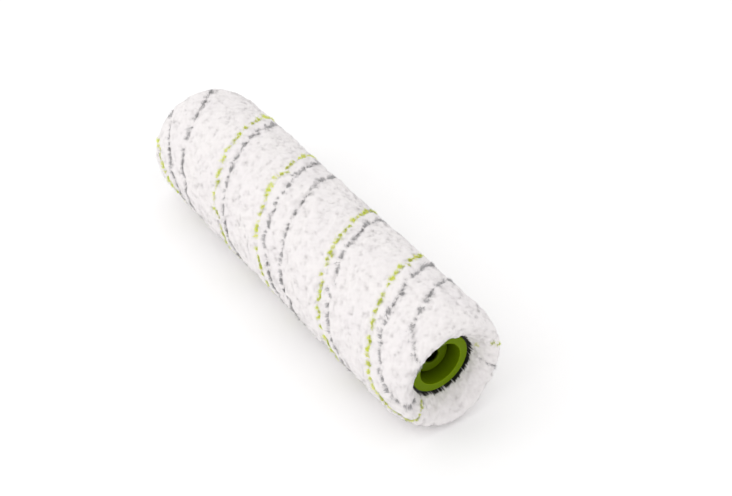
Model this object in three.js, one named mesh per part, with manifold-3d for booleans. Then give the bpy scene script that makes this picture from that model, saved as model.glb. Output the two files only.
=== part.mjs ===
// A 250 mm paint roller sleeve for an 8 mm rod: a wound plastic core, a bored cup-shaped cap
// pressed into each end, a fabric strip wound helically round the core, and its pile with rows
// of lime and grey marker yarn. Millimetres, +Z up, the sleeve lies along X on the plane z = 0.

import * as THREE from 'three';
import { mergeVertices } from 'three/addons/utils/BufferGeometryUtils.js';
import Module from 'manifold-3d';

const wasm = await Module();
wasm.setup();

// ---- Driving dimensions, mm ----

const SLEEVE_LENGTH = 250;
const PILE_RADIUS = 35;
const REST_HALF_WIDTH = 8; // half of the strip of pile that its own weight presses flat
const CREST_RADIUS = 29.7; // where the pile reaches furthest along the axis
const SHOULDER_AXIAL = 17; // rounding of the pile outside the crest, along the axis
const SHOULDER_ROUND = 1.55; // exponent of that rounding: 2 is an ellipse, 1 a cone
const FUNNEL_ROUND = 1.65; // the same inside the crest, down to the cap
const THROAT_RADIUS = 19.1; // the funnel's small end, round the cap's flange
const GAP = 0.3; // clearance between touching pieces

const RIM_RECESS = 10.3; // cap rim behind the end of the pile
const RIM_RADIUS = 17.35;
const CUP_RADIUS = 12.6;
const CUP_WALL = 1.9;
const CUP_DEPTH = 16;
const SKIRT_DEPTH = 22;
const FLANGE_THICKNESS = 2;
const FLOOR_THICKNESS = 1.8;
const HUB_RADIUS = 9.85;
const HUB_RECESS = 7.1; // hub face behind the rim
const HUB_CHAMFER = 1;
const HUB_WALL = 1.7;
const HUB_FACE_WALL = 1.5;
const BORE_RADIUS = 4.25; // turns freely on an 8 mm rod
const EDGE_CHAMFER = 0.4;
const CRUSH_RIB = { count: 8, width: 1.4 };

const TUBE_WALL = 1.6;
const BACKING_THICKNESS = 1.4;
const STRIP_PITCH = 104.6; // axial advance of the fabric strip in one turn
const STRIP_START = 58.5; // axial place of the strip's edge at the top of the sleeve
const SEAM_GAP = 0.3;

const ROW_WIDTH = 2.4; // axial width of a row of marker yarn
const ROW_DEPTH = 2.5;
const ROW_END_MARGIN = 9; // bare pile past each row's end
const FIRST_ROW = -28.2; // axial place of the first lime row at the top of the sleeve
const ROWS = [
  { name: 'lime_row_1', offset: 0, yarn: 'lime' },
  { name: 'grey_row_1', offset: 8.9, yarn: 'grey' },
  { name: 'grey_row_2', offset: 24.0, yarn: 'grey' },
  { name: 'lime_row_2', offset: 60.3, yarn: 'lime' },
  { name: 'grey_row_3', offset: 68.9, yarn: 'grey' },
];

const SOFT_SEGMENTS = 28; // facets per turn of the fabric and pile
const HARD_SEGMENTS = 40; // facets per turn of the core and caps
const SHOULDER_STEPS = 5;
const FUNNEL_STEPS = 4;

// ---- Derived dimensions ----

const HALF_LENGTH = SLEEVE_LENGTH / 2;
const AXIS_HEIGHT = Math.sqrt(PILE_RADIUS ** 2 - REST_HALF_WIDTH ** 2);
const RIM_X = HALF_LENGTH - RIM_RECESS;
const TUBE_HALF = RIM_X - FLANGE_THICKNESS - GAP;
const TUBE_RADIUS = RIM_RADIUS - 0.1;
const TUBE_BORE = TUBE_RADIUS - TUBE_WALL;
const BACKING_INNER = TUBE_RADIUS + GAP;
const BACKING_OUTER = BACKING_INNER + BACKING_THICKNESS;
const PILE_INNER = BACKING_OUTER + GAP;
const CRUSH_RADIUS = TUBE_BORE - GAP;
const SHOULDER_X = HALF_LENGTH - SHOULDER_AXIAL;
const FAR_OUT = 2 * PILE_RADIUS; // past every surface, for cutting

// ---- Materials ----

const paint = (color, roughness) =>
  new THREE.MeshStandardMaterial({ color, roughness, metalness: 0 });
const materials = {
  cap: paint(0x5f8a0a, 0.45),
  core: paint(0x8f9396, 0.5),
  backing: paint(0xd8d5cc, 0.95),
  pile: paint(0xf2f0ee, 1.0),
  lime: paint(0xcfe93a, 1.0),
  grey: paint(0x8b8b8d, 1.0),
};

// ---- Solids ----

/** The closed geometry as a solid, with its shared vertices merged. */
function solidOf(geometry) {
  geometry.deleteAttribute('normal');
  geometry.deleteAttribute('uv');
  const merged = mergeVertices(geometry, 1e-4);
  return new wasm.Manifold(new wasm.Mesh({
    numProp: 3,
    vertProperties: new Float32Array(merged.attributes.position.array),
    triVerts: new Uint32Array(merged.index.array),
  }));
}

/** A solid as a named mesh, lifted from the sleeve's axis to its place above the floor. */
function meshOf(name, solid, material) {
  const { vertProperties, triVerts } = solid.getMesh();
  const geometry = new THREE.BufferGeometry();
  geometry.setAttribute('position', new THREE.BufferAttribute(vertProperties, 3));
  geometry.setIndex(new THREE.BufferAttribute(triVerts, 1));
  geometry.computeVertexNormals();
  const mesh = new THREE.Mesh(geometry, material);
  mesh.name = name;
  mesh.position.z = AXIS_HEIGHT;
  return mesh;
}

/**
 * A profile of [radius, x] points turned round the X axis. Its outer side runs from +X to -X,
 * and a lathe wants the other order for faces that point out.
 */
function turned(profile, segments) {
  const points = profile.map(([radius, x]) => new THREE.Vector2(radius, x)).reverse();
  return solidOf(new THREE.LatheGeometry(points, segments).rotateZ(-Math.PI / 2));
}

/** The profile closed on itself, for a ring. */
const closed = (profile) => [...profile, profile[0]];

/** A box placed by its lowest and highest corner. */
function block(low, high) {
  const size = high.map((value, axis) => value - low[axis]);
  const geometry = new THREE.BoxGeometry(...size);
  return solidOf(geometry.translate(...low.map((value, axis) => value + size[axis] / 2)));
}

/**
 * A box bent round the X axis into a right-handed helical band. It crosses the top of the
 * sleeve at x and is width wide along the axis. radiusAt gives a surface's radius from the
 * place along the axis and from 0 on the band's inner side to 1 on its outer side. Its ends,
 * in turns from the top, fall on the facets of the pieces that are turned.
 */
function helicalBand({ x, width, radiusAt, first, last }) {
  const from = Math.ceil(first * SOFT_SEGMENTS);
  const steps = Math.floor(last * SOFT_SEGMENTS) - from;
  const geometry = new THREE.BoxGeometry(steps, width, 1, steps, 1, 1);
  const places = geometry.attributes.position;
  for (let i = 0; i < places.count; i++) {
    const turns = (places.getX(i) + steps / 2 + from) / SOFT_SEGMENTS;
    const angle = 2 * Math.PI * turns;
    const along = x + places.getY(i) + STRIP_PITCH * turns;
    const radius = radiusAt(along, places.getZ(i) + 0.5, angle);
    places.setXYZ(i, along, -radius * Math.sin(angle), radius * Math.cos(angle));
  }
  return solidOf(geometry);
}

// ---- Caps ----

/** Turned body of a cap as [radius, depth behind the rim] points, going round its wall. */
function capProfile() {
  const hubInner = HUB_RADIUS - HUB_WALL;
  const skirt = CUP_RADIUS + CUP_WALL;
  const faceBack = HUB_RECESS + HUB_FACE_WALL;
  const c = EDGE_CHAMFER;
  return [
    [BORE_RADIUS, HUB_RECESS + c],
    [BORE_RADIUS + c, HUB_RECESS],
    [HUB_RADIUS - HUB_CHAMFER, HUB_RECESS],
    [HUB_RADIUS, HUB_RECESS + HUB_CHAMFER],
    [HUB_RADIUS, CUP_DEPTH],
    [CUP_RADIUS, CUP_DEPTH],
    [CUP_RADIUS, c],
    [CUP_RADIUS + c, 0],
    [RIM_RADIUS - c, 0],
    [RIM_RADIUS, c],
    [RIM_RADIUS, FLANGE_THICKNESS],
    [skirt, FLANGE_THICKNESS],
    [skirt, SKIRT_DEPTH - c],
    [skirt - c, SKIRT_DEPTH],
    [CUP_RADIUS, SKIRT_DEPTH],
    [CUP_RADIUS, CUP_DEPTH + FLOOR_THICKNESS],
    [hubInner, CUP_DEPTH + FLOOR_THICKNESS],
    [hubInner, faceBack],
    [BORE_RADIUS, faceBack],
  ];
}

/** A cup with a bored, open-backed hub standing in it and crush ribs round its skirt. */
function capSolid() {
  const profile = capProfile().map(([radius, depth]) => [radius, RIM_X - depth]);
  let cap = turned(closed(profile), HARD_SEGMENTS);
  const halfRib = CRUSH_RIB.width / 2;
  const rib = block(
    [RIM_X - SKIRT_DEPTH + 1, -halfRib, CUP_RADIUS + CUP_WALL / 2],
    [RIM_X - FLANGE_THICKNESS / 2, halfRib, CRUSH_RADIUS],
  );
  for (let i = 0; i < CRUSH_RIB.count; i++) {
    cap = cap.add(rib.rotate([(360 * i) / CRUSH_RIB.count, 0, 0]));
  }
  return cap;
}

// ---- Core and backing ----

/** Plain plastic tube, its ends broken by a small chamfer. */
function coreTube() {
  const c = EDGE_CHAMFER;
  return turned(closed([
    [TUBE_BORE + c, TUBE_HALF],
    [TUBE_RADIUS, TUBE_HALF],
    [TUBE_RADIUS, -TUBE_HALF],
    [TUBE_BORE + c, -TUBE_HALF],
    [TUBE_BORE, c - TUBE_HALF],
    [TUBE_BORE, TUBE_HALF - c],
  ]), HARD_SEGMENTS);
}

/** The strip's ground fabric, wound edge to edge and trimmed square at both ends. */
function backingStrip() {
  const reach = Math.ceil(SLEEVE_LENGTH / STRIP_PITCH);
  const band = helicalBand({
    x: STRIP_START + STRIP_PITCH / 2,
    width: STRIP_PITCH - SEAM_GAP,
    radiusAt: (along, side) => BACKING_INNER + BACKING_THICKNESS * side,
    first: -reach,
    last: reach,
  });
  const kept = block([-TUBE_HALF, -FAR_OUT, -FAR_OUT], [TUBE_HALF, FAR_OUT, FAR_OUT]);
  return band.intersect(kept);
}

// ---- Pile ----

/** Height of a superellipse quarter, from 1 at its start to 0 at share 1. */
const bulge = (share, exponent) => (1 - share ** exponent) ** (1 / exponent);

/** Both ends of a profile, from that of the near end. */
const mirrored = (near) => [...near, ...near.map(([radius, x]) => [radius, -x]).reverse()];

/** Radius of the pile at a place along the axis. */
function roundRadius(along) {
  const past = Math.max(0, Math.abs(along) - SHOULDER_X) / SHOULDER_AXIAL;
  return CREST_RADIUS + (PILE_RADIUS - CREST_RADIUS) * bulge(Math.min(past, 1), SHOULDER_ROUND);
}

/** The outer form of the pile, filled: a cylinder with a rounded shoulder at each end. */
function envelope() {
  const near = [[0, HALF_LENGTH]];
  for (let i = SHOULDER_STEPS; i >= 0; i--) {
    const x = SHOULDER_X + SHOULDER_AXIAL * Math.sin((Math.PI / 2) * (i / SHOULDER_STEPS));
    near.push([roundRadius(x), x]);
  }
  return turned(mirrored(near), SOFT_SEGMENTS);
}

/** The hollow of the pile: a bore round the backing that flares to the crest at each end. */
function hollow() {
  const near = [[0, HALF_LENGTH + 1], [CREST_RADIUS, HALF_LENGTH + 1]];
  for (let i = 0; i <= FUNNEL_STEPS; i++) {
    const inward = 1 - Math.cos((Math.PI / 2) * (i / FUNNEL_STEPS));
    const radius = CREST_RADIUS - (CREST_RADIUS - THROAT_RADIUS) * bulge(1 - inward, FUNNEL_ROUND);
    near.push([radius, HALF_LENGTH - RIM_RECESS * inward]);
  }
  near.push([THROAT_RADIUS, TUBE_HALF + GAP], [PILE_INNER, TUBE_HALF + GAP]);
  return turned(mirrored(near), SOFT_SEGMENTS);
}

/** The pile's whole form, pressed flat where it rests. */
function pileForm() {
  const below = block([-FAR_OUT * 4, -FAR_OUT, -FAR_OUT], [FAR_OUT * 4, FAR_OUT, -AXIS_HEIGHT]);
  return envelope().subtract(hollow()).subtract(below);
}

/** Radius of the pile at a place and an angle, less on the strip that is pressed flat. */
function pressedRadius(along, angle) {
  const down = -Math.cos(angle);
  return down > 0 ? Math.min(roundRadius(along), AXIS_HEIGHT / down) : roundRadius(along);
}

/** A marker row, or with spare above 0 the slot in the pile that it stands in. */
function rowBand(offset, spare) {
  const reach = HALF_LENGTH - ROW_END_MARGIN;
  const x = FIRST_ROW + offset;
  const isSlot = spare > 0;
  const spareTurns = spare / STRIP_PITCH + (isSlot ? 1 / SOFT_SEGMENTS : 0);
  return helicalBand({
    x,
    width: ROW_WIDTH + 2 * spare,
    radiusAt: (along, side, angle) => {
      const top = isSlot ? PILE_RADIUS + 1 : pressedRadius(along, angle);
      const bottom = roundRadius(along) - ROW_DEPTH - spare;
      return side ? top : bottom;
    },
    first: (-reach - x) / STRIP_PITCH - spareTurns,
    last: (reach - x) / STRIP_PITCH + spareTurns,
  });
}

// ---- Assembly ----

const sleeve = new THREE.Group();

const cap = capSolid();
sleeve.add(meshOf('near_end_cap', cap, materials.cap));
sleeve.add(meshOf('far_end_cap', cap.rotate([0, 0, 180]), materials.cap));
sleeve.add(meshOf('core_tube', coreTube(), materials.core));
sleeve.add(meshOf('backing_strip', backingStrip(), materials.backing));

let pile = pileForm();
for (const { name, offset, yarn } of ROWS) {
  pile = pile.subtract(rowBand(offset, GAP));
  sleeve.add(meshOf(name, rowBand(offset, 0), materials[yarn]));
}
sleeve.add(meshOf('pile', pile, materials.pile));

export default sleeve;
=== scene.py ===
"""Looks of a paint roller sleeve: a wound core, a bored cap in each end, a fabric strip wound round
the core, white microfibre pile and its rows of lime and grey marker yarn. Metres, +Z up.

A place on the pile is (s, turn): s runs along the line of the fibre tips from the middle of the
sleeve, over the shoulder and crest and into the funnel, and turn is the angle from the top."""

import math

import bpy
import numpy as np
from mathutils import Matrix, Vector


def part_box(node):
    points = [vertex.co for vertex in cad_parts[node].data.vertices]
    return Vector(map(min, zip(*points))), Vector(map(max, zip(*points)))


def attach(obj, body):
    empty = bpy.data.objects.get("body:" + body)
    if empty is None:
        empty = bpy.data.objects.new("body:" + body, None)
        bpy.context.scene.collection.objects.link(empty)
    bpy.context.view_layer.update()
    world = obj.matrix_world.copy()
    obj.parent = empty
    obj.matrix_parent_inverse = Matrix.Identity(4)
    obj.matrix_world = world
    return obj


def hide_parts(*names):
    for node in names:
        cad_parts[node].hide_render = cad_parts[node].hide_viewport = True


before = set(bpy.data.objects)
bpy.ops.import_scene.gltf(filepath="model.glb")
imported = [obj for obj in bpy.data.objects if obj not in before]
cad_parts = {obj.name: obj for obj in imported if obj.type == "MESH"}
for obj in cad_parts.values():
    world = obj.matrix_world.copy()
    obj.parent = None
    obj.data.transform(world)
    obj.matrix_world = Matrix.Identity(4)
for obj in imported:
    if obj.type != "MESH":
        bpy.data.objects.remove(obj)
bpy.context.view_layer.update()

MM = 0.001
TAU = 2 * math.pi
rng = np.random.default_rng(20)

# ---- Places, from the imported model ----

cap_low, cap_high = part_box("near_end_cap")
pile_low, pile_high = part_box("pile")
AXIS = (cap_low.z + cap_high.z) / 2
CREST_X = pile_high.x
RIM_X = cap_high.x
PILE_RADIUS = pile_high.z - AXIS

# ---- The pile's form, metres ----

SHOULDER_X = CREST_X - 17.0 * MM
CREST_RADIUS = 29.7 * MM
SHOULDER_POWER = 1.54
THROAT_RADIUS = 19.2 * MM
FUNNEL_POWER = 1.67
MAT_DEPTH = 0.22 * MM  # the matted lower pile, beneath the tips
FOOT_SPREAD = 3.0 * MM  # the pressed ends splay outwards where the sleeve lies
SPLAY_FROM = 95.0 * MM  # and the splay grows from here along the tips' line
SPLAY_OVER = 30.0 * MM
CLEAR_OF_FLOOR = 0.15 * MM
LEAST_HEIGHT = 0.05 * MM  # of any point of a strand
BACK_OF_PILE = 19.3 * MM  # radius of the pile's inside, against the woven ground

# ---- The marker rows ----

PITCH = 104.6 * MM
FIRST_ROW = -28.2 * MM
ROWS = {
    "lime_row_1": 0.0,
    "grey_row_1": 8.9 * MM,
    "grey_row_2": 24.0 * MM,
    "lime_row_2": 60.3 * MM,
    "grey_row_3": 68.9 * MM,
}
STRAIGHT = 98.0 * MM  # rows keep their pitch this far from the middle
CROWDING = 22.0 * MM  # and crowd together over the ends with this length
SQUARE_TO_ROW = 0.75  # distance square to a row, for each unit along the sleeve


# ---- Meshes ----

def mesh_piece(name, points, faces, material, smooth=True, attributes=None, normals=None):
    """A mesh object at the origin from arrays of points and faces; attributes maps names to one
    number per point, and normals is a shading normal per point."""
    points = np.asarray(points, np.float32).reshape(-1, 3)
    faces = np.asarray(faces, np.int32)
    mesh = bpy.data.meshes.new(name)
    mesh.vertices.add(len(points))
    mesh.vertices.foreach_set("co", points.ravel())
    mesh.loops.add(faces.size)
    mesh.loops.foreach_set("vertex_index", faces.ravel())
    mesh.polygons.add(len(faces))
    mesh.polygons.foreach_set("loop_start", np.arange(len(faces), dtype=np.int32) * faces.shape[1])
    mesh.polygons.foreach_set("use_smooth", np.full(len(faces), smooth))
    for key, values in (attributes or {}).items():
        layer = mesh.attributes.new(key, "FLOAT", "POINT")
        layer.data.foreach_set("value", np.asarray(values, np.float32).ravel())
    if normals is not None:
        layer = mesh.attributes.new("custom_normal", "FLOAT_VECTOR", "POINT")
        layer.data.foreach_set("vector", np.asarray(normals, np.float32).ravel())
    mesh.update(calc_edges=True)
    mesh.materials.append(material)
    piece = bpy.data.objects.new(name, mesh)
    bpy.context.scene.collection.objects.link(piece)
    return piece


def ring_faces(rows, columns):
    """Quads of a grid that closes on itself both ways."""
    i = np.arange(rows)[:, None]
    j = np.arange(columns)[None, :]
    i2 = (i + 1) % rows
    j2 = (j + 1) % columns
    quads = np.stack([i * columns + j, i * columns + j2, i2 * columns + j2, i2 * columns + j], -1)
    return quads.reshape(-1, 4)


def around(x, radius, turn):
    """Points at this place along the sleeve, distance from its axis and angle from the top."""
    flat = 0 * turn + 0 * x
    return np.stack([x + flat, -radius * np.sin(turn) + flat, AXIS + radius * np.cos(turn) + flat], -1)


def outward(points, faces):
    """The faces, turned over if the closed surface they make has a negative volume."""
    p = points.reshape(-1, 3)
    a, b, c = p[faces[:, 0]], p[faces[:, 1]], p[faces[:, 2]]
    volume = np.einsum("ij,ij->", a, np.cross(b, c))
    if faces.shape[1] == 4:
        d = p[faces[:, 3]]
        volume += np.einsum("ij,ij->", a, np.cross(c, d))
    return faces if volume > 0 else faces[:, ::-1]


# ---- The pile's surface ----

def tip_table():
    """Half of the tips' line: straight to the shoulder, then superellipse quarters, r rising
    (1 - u^n)^(1/n) over the shoulder to the crest and falling inside it to the throat."""
    t = np.linspace(0, math.pi / 2, 400)
    p, q = 2 / SHOULDER_POWER, 2 / FUNNEL_POWER
    shoulder = [
        SHOULDER_X + (CREST_X - SHOULDER_X) * np.sin(t) ** p,
        CREST_RADIUS + (PILE_RADIUS - CREST_RADIUS) * np.cos(t) ** p,
    ]
    funnel = [
        RIM_X + (CREST_X - RIM_X) * np.cos(t) ** q,
        CREST_RADIUS - (CREST_RADIUS - THROAT_RADIUS) * np.sin(t) ** q,
    ]
    x = np.concatenate([[0], shoulder[0], funnel[0][1:]])
    r = np.concatenate([[PILE_RADIUS], shoulder[1], funnel[1][1:]])
    s = np.concatenate([[0], np.cumsum(np.hypot(np.diff(x), np.diff(r)))])
    keep = np.concatenate([[True], np.diff(s) > 1e-7])
    x, r, s = x[keep], r[keep], s[keep]
    even = np.linspace(0, s[-1], 1500)
    x, r = np.interp(even, s, x), np.interp(even, s, r)
    dx, dr = np.gradient(x), np.gradient(r)
    length = np.hypot(dx, dr)
    return even, x, r, -dr / length, dx / length


LINE_S, LINE_X, LINE_R, LINE_NX, LINE_NR = tip_table()
S_END = LINE_S[-1]


def tip_radius(s):
    """Radius of the tips' surface at s."""
    return np.interp(np.abs(s), LINE_S, LINE_R)


def pile_point(s, turn, depth):
    """Points beneath the tips' surface at (s, turn), at this depth along its normal, with the foot
    of each end splayed and everything kept off the floor."""
    a = np.abs(s)
    side = np.sign(s)
    x = np.interp(a, LINE_S, LINE_X) - np.interp(a, LINE_S, LINE_NX) * depth
    r = np.interp(a, LINE_S, LINE_R) - np.interp(a, LINE_S, LINE_NR) * depth
    low = np.clip(-np.cos(turn), 0, 1) ** 3
    reach = np.clip((a - SPLAY_FROM) / SPLAY_OVER, 0, 1)
    away_from_core = np.clip((r - 18 * MM) / (12 * MM), 0, 1)
    x = side * (x + FOOT_SPREAD * low * reach**2 * away_from_core)
    z = AXIS + r * np.cos(turn)
    return np.stack([x, -r * np.sin(turn), np.maximum(z, CLEAR_OF_FLOOR)], -1)


def pile_normal(s, turn):
    """The outward normal of the tips' surface at (s, turn)."""
    nx = np.sign(s) * np.interp(np.abs(s), LINE_S, LINE_NX)
    nr = np.interp(np.abs(s), LINE_S, LINE_NR)
    return np.stack([nx, -nr * np.sin(turn), nr * np.cos(turn)], -1)


def soft_field(seed, wavelength, count=60):
    """A smooth random field over (s, turn): a sum of sine waves about this wavelength, with whole
    numbers of waves round the sleeve so that it closes."""
    own = np.random.default_rng(seed)
    ks = own.normal(size=count) * TAU / wavelength
    kt = np.round(own.normal(size=count) * TAU * PILE_RADIUS / wavelength)
    phase = own.uniform(0, TAU, count)

    def field(s, turn):
        total = np.zeros(np.broadcast(s, turn).shape)
        for a, b, c in zip(ks, kt, phase):
            total += np.sin(a * s + b * turn + c)
        return total / math.sqrt(count / 2)

    return field


swell = soft_field(13, 14 * MM)
clump = soft_field(5, 4.2 * MM)


def pile_swell(s, turn):
    """How far the nap stands out: broad soft swells and the small clumps of its tufts."""
    return swell(s, turn) * 0.3 * MM + clump(s, turn) * 0.16 * MM


def row_root(s):
    """Where the place s would lie along a row that kept its pitch to the end of the fabric."""
    a = np.abs(s)
    far = STRAIGHT + CROWDING * (1 - np.exp(-(a - STRAIGHT) / CROWDING))
    return np.sign(s) * np.where(a < STRAIGHT, a, far)


def row_place(root):
    """The reverse of row_root."""
    a = np.abs(root)
    rest = np.clip(1 - (a - STRAIGHT) / CROWDING, 1e-4, None)
    far = STRAIGHT - CROWDING * np.log(rest)
    return np.sign(root) * np.where(a < STRAIGHT, a, far)


def distance_to_rows(s, turn):
    """Distance from (s, turn) to the nearest marker row, measured square to the row."""
    root = row_root(s)
    nearest = np.full(np.broadcast(s, turn).shape, 1.0)
    stretch = np.where(np.abs(s) < STRAIGHT, 1, np.exp((np.abs(s) - STRAIGHT) / CROWDING))
    for offset in ROWS.values():
        gap = (root - FIRST_ROW - offset - PITCH * turn / TAU) / PITCH
        gap = np.abs(gap - np.round(gap)) * PITCH * stretch
        nearest = np.minimum(nearest, gap)
    return nearest * SQUARE_TO_ROW


# ---- Strands ----

# Share of the pile's own normal in a strand's shading, as light spreads through a nap.
NAP_EVENNESS = 0.75
SPINDLE = np.array([[0, 2, 1], [0, 3, 2], [0, 1, 3], [1, 2, 4], [2, 3, 4], [3, 1, 4]])


def spindles(root, middle, tip, width):
    """Closed bent spindles: a point at the root, a ring of three square to the strand about its
    middle, and a point at the tip."""
    along = tip - root
    along /= np.linalg.norm(along, axis=1, keepdims=True)
    helper = rng.normal(size=along.shape)
    side = np.cross(along, helper)
    side /= np.linalg.norm(side, axis=1, keepdims=True)
    other = np.cross(along, side)
    angle = np.arange(3) * TAU / 3
    ring = np.cos(angle)[None, :, None] * side[:, None] + np.sin(angle)[None, :, None] * other[:, None]
    half = np.asarray(width)[:, None, None] / 2
    points = np.concatenate([root[:, None], middle[:, None] + ring * half, tip[:, None]], 1)
    faces = (np.arange(len(root))[:, None, None] * 5 + SPINDLE[None]).reshape(-1, 3)
    facing = np.concatenate([-along[:, None], ring, along[:, None]], 1)
    return points, faces, facing


WANDER = 0.5 * MM  # how far a strand's foot strays from its tuft's root
CURL = 0.35 * MM  # and its middle from the line between foot and tip
BEND_AT = 0.24  # the middle's place, as a share of the way from tip to root
NARROWEST = 12.0 * MM  # least radius for turning a distance round the sleeve into an angle


def tufts(name, s, turn, count, spread, lean, depth, width, material, rise, tip_scatter):
    """One piece of tufts: count strands from each root, leaning together by lean and fanning out
    by spread. A tip lies rise above the tips' surface, give or take tip_scatter and lower the
    further it fans out. A foot lies at depth. No strand passes the throat's ragged margin."""
    n = len(s)
    each = np.repeat(np.arange(n), count)
    shade = rng.normal(size=n)[each] * 0.8 + rng.normal(size=n * count) * 0.45
    height = np.asarray(rise) + np.zeros(n)

    def offset(amount_s, amount_t):
        local = np.maximum(tip_radius(s[each]), NARROWEST)
        return s[each] + amount_s, turn[each] + amount_t / local

    fan = rng.normal(size=(2, n * count)) * spread
    start = rng.normal(size=(2, n * count)) * WANDER
    lean_s, lean_t = lean[0][each], lean[1][each]
    tip_depth = -height[each] - rng.normal(size=n * count) * tip_scatter + 0.1 * np.hypot(*fan)
    curl = rng.normal(size=(2, n * count)) * CURL
    s0, t0 = offset(start[0], start[1])
    s1, t1 = offset(start[0] * 0.5 + fan[0] * 0.7 + lean_s * 0.4 + curl[0],
                    start[1] * 0.5 + fan[1] * 0.7 + lean_t * 0.4 + curl[1])
    s2, t2 = offset(fan[0] + lean_s, fan[1] + lean_t)
    margin = S_END - rng.uniform(0.4, 1.1, n * count) * MM
    s0, s1, s2 = (np.clip(v, -margin, margin) for v in (s0, s1, s2))
    root = pile_point(s0, t0, np.full(n * count, depth))
    middle = pile_point(s1, t1, tip_depth + (depth - tip_depth) * BEND_AT)
    tip = pile_point(s2, t2, tip_depth)
    points, faces, facing = spindles(root, middle, tip, width * rng.uniform(0.75, 1.25, n * count))
    lit = facing * (1 - NAP_EVENNESS) + pile_normal(s2, t2)[:, None] * NAP_EVENNESS
    lit /= np.linalg.norm(lit, axis=-1, keepdims=True)
    points[..., 2] = np.maximum(points[..., 2], LEAST_HEIGHT)
    along = np.tile(np.array([0, 0.6, 0.6, 0.6, 1.0]), n * count)
    return mesh_piece(name, points, faces, material,
                      attributes={"shade": np.repeat(shade, 5), "rise": along}, normals=lit)


# ---- Materials ----

class Term:
    """A socket in a shader sum. + - * / and their reflected forms add Math nodes."""

    def __init__(self, finish, socket):
        self.finish = finish
        self.socket = socket

    def _sum(self, operation, first, second):
        return self.finish.add("ShaderNodeMath", {"operation": operation}, {0: first, 1: second})

    def __add__(self, other):
        return self._sum("ADD", self, other)

    __radd__ = __add__

    def __sub__(self, other):
        return self._sum("SUBTRACT", self, other)

    def __rsub__(self, other):
        return self._sum("SUBTRACT", other, self)

    def __mul__(self, other):
        return self._sum("MULTIPLY", self, other)

    __rmul__ = __mul__


class Finish:
    """A material under construction."""

    def __init__(self, name):
        self.material = bpy.data.materials.new(name)
        self.material.use_nodes = True
        self.tree = self.material.node_tree
        self.tree.nodes.clear()

    def add(self, kind, settings=None, sockets=None, output=0):
        """A node of this type: its settings first, then the values or links of its sockets."""
        node = self.tree.nodes.new(kind)
        for key, value in (settings or {}).items():
            setattr(node, key, value)
        for key, value in (sockets or {}).items():
            if isinstance(value, Term):
                self.tree.links.new(value.socket, node.inputs[key])
            else:
                node.inputs[key].default_value = value
        return None if output is None else Term(self, node.outputs[output])

    def place(self):
        return self.add("ShaderNodeTexCoord", output="Object")

    def noise(self, scale, detail=3.0):
        return self.add("ShaderNodeTexNoise", None, {
            "Vector": self.place(), "Scale": scale, "Detail": detail, "Roughness": 0.55})

    def attribute(self, name):
        return self.add("ShaderNodeAttribute", {"attribute_name": name}, output="Fac")

    def span(self, value, low, high, start, end):
        return self.add("ShaderNodeMapRange", {"clamp": True}, {
            0: value, 1: low, 2: high, 3: start, 4: end})

    def mix(self, factor, first, second):
        return self.add("ShaderNodeMix", {"data_type": "RGBA"}, {0: factor, 6: first, 7: second}, output=2)

    def bump(self, height, distance):
        return self.add("ShaderNodeBump", None, {"Height": height, "Distance": distance})

    def close(self, sockets):
        """The finished material: one shader with these sockets."""
        shader = self.add("ShaderNodeBsdfPrincipled", None, sockets)
        self.add("ShaderNodeOutputMaterial", None, {"Surface": shader}, output=None)
        return self.material


def rgba(r, g, b):
    return (r, g, b, 1.0)


def yarn(name, dark, light, shaded_root_colour):
    """Dyed or white microfibre: each tuft its own tone, and a colour towards the root painted as the
    shade low in the pile, darker for the dyed yarns.
    """
    f = Finish(name)
    patch = f.noise(70.0)
    shade = f.span(f.attribute("shade") + (patch - 0.5) * 1.5, -1.6, 1.6, 0.0, 1.0)
    body = f.mix(shade, dark, light)
    # painted shade: each strand takes the root colour towards its foot, low in the pile
    colour = f.mix(f.span(f.attribute("rise"), 0.1, 0.75, 0.0, 1.0), shaded_root_colour, body)
    fibre = f.noise(2600.0, detail=2.0)
    return f.close({
        "Base Color": colour,
        "Roughness": f.span(fibre, 0.3, 0.7, 0.8, 0.98),
        "Specular IOR Level": 0.15,
        "Sheen Weight": 0.25,
        "Sheen Roughness": 0.5,
    })


def mat_finish():
    """The matted lower pile between the tufts, with near-black painted shadow in the gap beside the cap."""
    f = Finish("matted_white_pile")
    patch = f.noise(55.0)
    fine = f.noise(700.0, detail=4.0)
    pile = f.mix(f.span(patch, 0.35, 0.65, 0.0, 1.0),
                 rgba(0.82, 0.785, 0.787), rgba(0.84, 0.807, 0.8))
    # painted shadow: the cut mask turns the mat near-black in the gap beside the cap and on its inside
    colour = f.mix(f.attribute("cut"), pile, rgba(0.012, 0.013, 0.008))
    return f.close({
        "Base Color": colour,
        "Roughness": f.span(fine, 0.3, 0.7, 0.85, 1.0),
        "Specular IOR Level": 0.1,
        "Sheen Weight": 0.2,
        "Normal": f.bump(fine, 0.08 * MM),
    })


def moulded_plastic(name, base, lit_edge):
    """Satin moulded plastic: faint flow marks, a fine spark-eroded grain, a painted highlight on the
    rounded edges, and painted shade darkening it where the moulding is recessed."""
    f = Finish(name)
    flow = f.noise(38.0, detail=2.0)
    grain = f.noise(2400.0, detail=2.0)
    body = f.mix(f.span(flow, 0.3, 0.7, 0.0, 0.35), base, rgba(*(c * 1.25 for c in base[:3])))
    # painted highlight: rounded edges lightened towards lit_edge
    colour = f.mix(f.attribute("edge") * 0.6, body, lit_edge)
    # painted shade: darker where the moulding is recessed
    colour = f.mix(f.attribute("recess_shade"), colour, rgba(*(c * 0.18 for c in base[:3])))
    return f.close({
        "Base Color": colour,
        "Roughness": f.span(grain, 0.3, 0.7, 0.38, 0.52),
        "Specular IOR Level": 0.05,
        "Normal": f.bump(grain, 0.02 * MM),
    })


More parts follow.
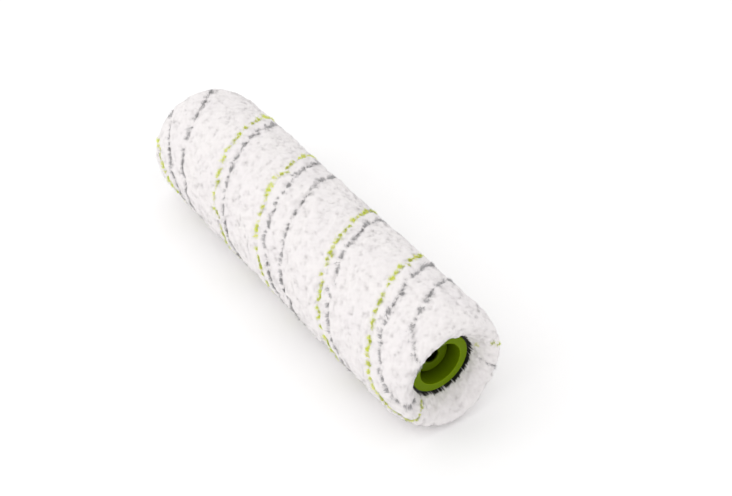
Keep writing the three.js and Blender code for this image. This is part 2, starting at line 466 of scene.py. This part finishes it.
def wound_plastic():
    """Grey core plastic, faintly streaked."""
    f = Finish("wound_core_plastic")
    streak = f.noise(160.0, detail=3.0)
    colour = f.mix(streak, rgba(0.05, 0.052, 0.055), rgba(0.09, 0.092, 0.095))
    return f.close({
        "Base Color": colour,
        "Roughness": f.span(streak, 0.3, 0.7, 0.45, 0.6),
        "Normal": f.bump(streak, 0.05 * MM),
    })


def woven_ground():
    """The fabric's woven ground: warp and weft ribs from the strip's own lengths in millimetres."""
    f = Finish("woven_ground")
    uv = f.add("ShaderNodeUVMap", {"uv_map": "strip"})
    warp, weft = (
        f.add("ShaderNodeTexWave", {"bands_direction": way},
              {"Vector": uv, "Scale": scale, "Distortion": 0.4})
        for way, scale in (("X", 2.2), ("Y", 1.6)))
    cloth = warp * 0.5 + weft * 0.5
    colour = f.mix(cloth, rgba(0.05, 0.05, 0.05), rgba(0.16, 0.155, 0.15))
    return f.close({
        "Base Color": colour,
        "Roughness": f.span(cloth, 0.0, 1.0, 0.8, 0.95),
        "Normal": f.bump(cloth, 0.15 * MM),
    })


# each yarn's last colour is painted shade towards the roots
WHITE = yarn("white_microfibre", rgba(0.79, 0.757, 0.758), rgba(0.82, 0.788, 0.78), rgba(0.8, 0.767, 0.765))
LIME = yarn("lime_microfibre", rgba(0.82, 0.96, 0.07), rgba(0.97, 1.0, 0.22), rgba(0.74, 0.92, 0.04))
GREY = yarn("grey_microfibre", rgba(0.36, 0.35, 0.355), rgba(0.64, 0.625, 0.63), rgba(0.4, 0.39, 0.395))
# the second colour is the painted highlight on the cap's rounded edges
GREEN = moulded_plastic("green_cap_plastic", rgba(0.12, 0.19, 0.0), rgba(0.2, 0.3, 0.004))
CORE = wound_plastic()
GROUND = woven_ground()


def settle(piece, node):
    """A finished piece rides on the one body and stands in for this node, which it hides."""
    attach(piece, "root")
    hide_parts(node)
    return piece


# ---- Matted pile ----

def white_mat():
    """A closed ring: the tips' surface let in by the mat's depth, parted along the marker rows and
    roughened, from throat to throat, then back along the inside against the woven ground. At each
    throat a band 0.45 (1 + cos(turn + 1.9)) mm wide with a ragged edge, and the whole inside, are
    painted near-black as the shadow in the gap between pile and cap."""
    columns, rows, back_rows = 225, 350, 10
    turn = np.linspace(0, TAU, columns, endpoint=False)[None, :]
    s = np.linspace(-S_END, S_END, rows)[:, None]
    at_throat = np.clip((np.abs(s) - S_END + 5 * MM) / (5 * MM), 0, 1) ** 2
    parting = np.exp(-((distance_to_rows(s, turn) / (1.0 * MM)) ** 2)) * 0.55 * MM
    depth = (MAT_DEPTH - at_throat * 0.3 * MM - pile_swell(s, turn) + parting
             + rng.normal(size=(rows, columns)) * 0.08 * MM)
    outer = pile_point(s, turn + 0 * s, depth)
    ragged = rng.normal(size=columns) * 0.35 * MM
    width = 0.45 * (1 + np.cos(turn + 1.9)) * MM
    # painted shadow band beside the cap, wider on one side, where the gap lies in shade
    cut = np.clip((np.abs(s) - S_END + width + ragged) / (0.4 * MM), 0, 1)
    x = np.linspace(RIM_X - 3 * MM, -RIM_X + 3 * MM, back_rows)[:, None]
    points = np.concatenate([outer, around(x, BACK_OF_PILE, turn)])
    faces = outward(points, ring_faces(rows + back_rows, columns))
    cut = np.concatenate([cut.ravel(), np.ones(back_rows * columns)])
    return mesh_piece("white_pile_mat", points, faces, mat_finish(), attributes={"cut": cut})


settle(white_mat(), "pile")


# ---- White tufts ----

def scatter(spacing):
    """Roots in a jittered brick pattern: rings a spacing apart along s, each with a whole number of
    roots round it."""
    edge = S_END - 0.6 * MM
    rings = np.arange(-edge, edge, spacing)
    counts = np.maximum(np.round(TAU * tip_radius(rings) / spacing).astype(int), 12)
    ring = np.repeat(np.arange(len(rings)), counts)
    index = np.arange(counts.sum()) - np.repeat(np.cumsum(counts) - counts, counts)
    s = rings[ring] + rng.uniform(-0.42, 0.42, len(ring)) * spacing
    turn = (index + 0.5 * (ring % 2) + rng.uniform(-0.42, 0.42, len(ring))) / counts[ring] * TAU
    return np.clip(s, -S_END, S_END), turn % TAU


TUFT_SPACING = 2.15 * MM
WHITE_PIECES = 10
nap_s = soft_field(11, 26 * MM)
nap_t = soft_field(12, 22 * MM)

s, turn = scatter(TUFT_SPACING)
clear = (distance_to_rows(s, turn) > 1.15 * MM) & (np.abs(s) < S_END - 1.3 * MM)
s, turn = s[clear], turn[clear]
lean = (nap_s(s, turn) * 0.6 * MM + rng.normal(size=len(s)) * 0.5 * MM,
        nap_t(s, turn) * 0.6 * MM + rng.normal(size=len(s)) * 0.5 * MM)
rise = pile_swell(s, turn) + rng.normal(size=len(s)) * 0.15 * MM
for i, chosen in enumerate(np.array_split(np.arange(len(s)), WHITE_PIECES)):
    piece = tufts(f"white_tufts_{i + 1}", s[chosen], turn[chosen], count=18, spread=1.05 * MM,
                  lean=(lean[0][chosen], lean[1][chosen]), depth=3.2 * MM, width=0.2 * MM,
                  material=WHITE, rise=rise[chosen], tip_scatter=0.16 * MM)
    settle(piece, "pile")


# ---- Marker rows ----

def marker_row(name, offset, material, spacing, gaps, count, spread, width, stray):
    """A row of dyed tufts: roots a spacing apart along s = row_place(first + offset +
    pitch * turn / 2 pi), strayed to either side, with a share of gaps left out."""
    first = FIRST_ROW + offset
    reach = row_root(np.array([S_END - 1.0 * MM]))[0]
    turns = np.arange(-reach - first, reach - first, spacing / 2.35) / PITCH * TAU
    q = first + PITCH * turns / TAU
    place = row_place(q)
    radius = tip_radius(place)
    step = np.hypot(np.gradient(place), np.gradient(turns) * radius)
    run = np.cumsum(step)
    marks = np.arange(run[0], run[-1], spacing)
    turn = np.interp(marks, run, turns)
    s = np.interp(marks, run, place)
    kept = rng.random(len(s)) > gaps
    s, turn = s[kept], turn[kept]
    s = s + rng.normal(size=len(s)) * stray
    turn = turn + rng.normal(size=len(s)) * stray / tip_radius(s)
    lean = (nap_s(s, turn) * 0.9 * MM + rng.normal(size=len(s)) * 0.6 * MM,
            nap_t(s, turn) * 0.9 * MM + rng.normal(size=len(s)) * 0.6 * MM)
    rise = pile_swell(s, turn) + 0.4 * MM + rng.normal(size=len(s)) * 0.2 * MM
    piece = tufts(name.replace("row", "tufts"), s, turn, count, spread, lean, 5.4 * MM, width,
                  material, rise, tip_scatter=0.35 * MM)
    settle(piece, name)


for name, offset in ROWS.items():
    if name.startswith("lime"):
        marker_row(name, offset, LIME, spacing=2.8 * MM, gaps=0.08, count=44,
                   spread=0.8 * MM, width=0.34 * MM, stray=0.45 * MM)
    else:
        marker_row(name, offset, GREY, spacing=2.0 * MM, gaps=0.1, count=24,
                   spread=0.8 * MM, width=0.32 * MM, stray=0.55 * MM)


# ---- Caps ----

STEPS = 144


def rounded_profile(corners):
    """A closed profile with rounded corners: corners are (radius, depth, fillet), and each fillet is
    an arc through five points, tangent to both sides. Also returns how near a corner each is."""
    points, edges = [], []
    n = len(corners)
    for i, (r, d, fillet) in enumerate(corners):
        here = np.array([r, d])
        back = np.array(corners[i - 1][:2]) - here
        ahead = np.array(corners[(i + 1) % n][:2]) - here
        lb, la = np.linalg.norm(back), np.linalg.norm(ahead)
        cut = min(fillet, lb * 0.45, la * 0.45)
        t = np.linspace(0, 1, 6)[:, None]
        a, b = here + back / lb * cut, here + ahead / la * cut
        arc = (1 - t) ** 2 * a + 2 * t * (1 - t) * here + t**2 * b
        points.append(arc)
        edges.append(np.sin(t[:, 0] * math.pi))
    return np.concatenate(points), np.concatenate(edges)


# The cap's section in millimetres: (radius, depth behind the rim, fillet) at each corner, from the
# bore out over the hub, down into the cup, over the flange and back inside the skirt.
HUB = 9.85
HUB_RECESS = 7.1
SKIRT = 14.5
CAP_PROFILE = [
    (4.25, HUB_RECESS, 0.4), (HUB, HUB_RECESS, 1.0), (HUB, 16.0, 0.5), (12.6, 16.0, 0.9),
    (12.6, 0.0, 0.45), (17.35, 0.0, 0.9), (17.35, 2.0, 0.3),
    (SKIRT, 2.0, 0.3), (SKIRT, 22.0, 0.4), (12.6, 22.0, 0.3), (12.6, 17.8, 0.5),
    (8.15, 17.8, 0.4), (8.15, 8.6, 0.5), (4.25, 8.6, 0.3),
]


def cap(name, side):
    """The cap's rounded profile turned round the axis. Its skirt swells at eight crush ribs, by
    0.45 mm times the part of 6 cos(8 turn) - 5 above nothing. Painted shade darkens it from 1 mm
    behind the rim to 9 mm, and by half on the recessed hub's face; its rounded edges carry a painted
    highlight."""
    profile, edge = rounded_profile(CAP_PROFILE)
    turn = np.linspace(0, TAU, STEPS, endpoint=False)[None, :]
    radius, depth = profile[:, 0:1] * MM, profile[:, 1:2] * MM
    rib = np.clip(np.cos(turn * 8) * 6 - 5, 0, 1) * 0.45 * MM
    on_skirt = (np.abs(profile[:, 0:1] - SKIRT) < 0.5) & (profile[:, 1:2] > 2.6)
    on_skirt &= profile[:, 1:2] < 21.4
    points = around(side * (RIM_X - depth), radius + rib * on_skirt, turn)
    faces = outward(points, ring_faces(len(profile), STEPS))
    # painted shade inside the cup, and at half strength on the recessed hub's face
    recess_shade = np.clip((profile[:, 1] - 1.0) / 8.0, 0, 1)
    recess_shade[(profile[:, 0] < HUB - 0.1) & (profile[:, 1] < HUB_RECESS + 0.5)] = 0.5
    return mesh_piece(name, points, faces, GREEN,
                      attributes={"edge": np.repeat(edge, STEPS), "recess_shade": np.repeat(recess_shade, STEPS)})


for name, side, node in (("near_cap", 1, "near_end_cap"), ("far_cap", -1, "far_end_cap")):
    settle(cap(name, side), node)


# ---- Core tube ----

WRAPPED_HALF = RIM_X - 2.3 * MM  # half length of the core and of the strip wound on it
WINDING = 60.0 * MM  # pitch of the core's own winding


def core():
    """A tube wall turned round the axis, outside and then back along the inside. Both faces have a
    groove 0.25 exp(-(d / 0.8 mm)^2) mm deep, d being the distance from the winding's butt seam."""
    rows, columns = 120, 96
    outside, inside = 17.25 * MM, 15.65 * MM
    turn = np.linspace(0, TAU, columns, endpoint=False)[None, :]
    x = np.linspace(-WRAPPED_HALF, WRAPPED_HALF, rows)[:, None]

    def groove(x):
        wave = (x / WINDING - turn / TAU) % 1.0
        return np.exp(-((np.minimum(wave, 1 - wave) * WINDING) / (0.8 * MM)) ** 2) * 0.25 * MM

    back = x[::-1]
    outer = around(x, outside - groove(x), turn)
    inner = around(back, inside + groove(back), turn)
    points = np.concatenate([outer, inner])
    return mesh_piece("core", points, outward(points, ring_faces(2 * rows, columns)), CORE)


settle(core(), "core_tube")


# ---- Woven ground ----

STRIP_WIDTH = 77.3  # millimetres, square to the strip's edges
STRIP_RADIUS = 18.25  # millimetres, the middle of its thickness
STRIP_EDGE = 58.5 * MM  # where the strip's edge crosses the top of the sleeve


def woven_strip():
    """The strip wound on the core: across it x runs from edge to edge of the winding, along it the
    strip turns with the pitch, cut off square with the sleeve at both ends."""
    inner, outer = 17.6 * MM, 18.9 * MM
    across, along = 24, 300
    gap = 0.3 * MM
    u = np.linspace(0, 1, across)[None, :]
    start = (-WRAPPED_HALF - STRIP_EDGE - PITCH) / PITCH * TAU
    end = (WRAPPED_HALF - STRIP_EDGE) / PITCH * TAU
    turn = np.linspace(start, end, along)[:, None]
    x = STRIP_EDGE + PITCH * turn / TAU + gap / 2 + u * (PITCH - gap)
    x = np.clip(x, -WRAPPED_HALF, WRAPPED_HALF)
    points = np.concatenate([around(x, outer, turn), around(x, inner, turn)[:, ::-1]], 1)
    columns = 2 * across
    faces = ring_faces(along, columns)[: (along - 1) * columns]
    piece = mesh_piece("woven_ground", points, outward(points, faces), GROUND)
    uv = piece.data.uv_layers.new(name="strip")
    v = np.concatenate([u, u[:, ::-1]], 1)
    grid = np.stack([np.broadcast_to(v * STRIP_WIDTH, (along, columns)),
                     np.broadcast_to(turn * STRIP_RADIUS, (along, columns))], -1).reshape(-1, 2)
    loops = np.zeros(len(piece.data.loops), np.int32)
    piece.data.loops.foreach_get("vertex_index", loops)
    uv.data.foreach_set("uv", grid[loops].astype(np.float32).ravel())
    return piece


ground = settle(woven_strip(), "backing_strip")


# ---- Floor, light, camera ----

def stage():
    """A plain pale floor under an even white sky, a soft lamp on the left and a larger one overhead."""
    f = Finish("pale_floor")
    f.close({"Base Color": rgba(0.97, 0.965, 0.965), "Roughness": 1.0, "Specular IOR Level": 0.0})
    half = 6.0
    corners = np.array([[-half, -half, 0], [half, -half, 0], [half, half, 0], [-half, half, 0]])
    floor = mesh_piece("floor", corners, np.array([[0, 1, 2, 3]]), f.material, smooth=False)
    world = bpy.data.worlds.new("even_white_sky")
    world.use_nodes = True
    sky = world.node_tree.nodes["Background"]
    sky.inputs["Color"].default_value = (1.0, 1.0, 1.0, 1.0)
    sky.inputs["Strength"].default_value = 0.94
    bpy.context.scene.world = world
    lamps = (("left_lamp", 1.0, 3.2, (-0.2, -0.95, 0.9)), ("overhead_lamp", 2.0, 3.0, (0.0, 0.0, 1.8)))
    for name, size, energy, place in lamps:
        lamp = bpy.data.lights.new(name, "AREA")
        lamp.size = size
        lamp.energy = energy
        holder = bpy.data.objects.new(name, lamp)
        holder.location = place
        aim = Vector((0, 0, 0.03)) - holder.location
        holder.rotation_euler = aim.to_track_quat("-Z", "Y").to_euler()
        bpy.context.scene.collection.objects.link(holder)


def camera():
    """The camera looks down on the near end, its horizon level: azimuth is from the sleeve's side
    towards its near end, and back is the way from the sleeve to the camera."""
    azimuth, height = math.radians(55.0), math.radians(40.7)
    back = Vector((math.sin(azimuth) * math.cos(height), -math.cos(azimuth) * math.cos(height),
                   math.sin(height)))
    right = Vector((math.cos(azimuth), math.sin(azimuth), 0.0))
    up = back.cross(right)
    data = bpy.data.cameras.new("camera")
    data.sensor_width = 36.0
    data.lens = 75.98
    data.clip_start, data.clip_end = 0.01, 50.0
    eye = bpy.data.objects.new("camera", data)
    centre = Vector((0, 0, AXIS)) + back * 0.8558 + right * 0.02798 - up * 0.00225
    turn = Matrix((right, up, back)).transposed().to_4x4()
    eye.matrix_world = Matrix.Translation(centre) @ turn
    bpy.context.scene.collection.objects.link(eye)
    bpy.context.scene.camera = eye


stage()
camera()
bpy.context.scene.view_settings.view_transform = "Standard"
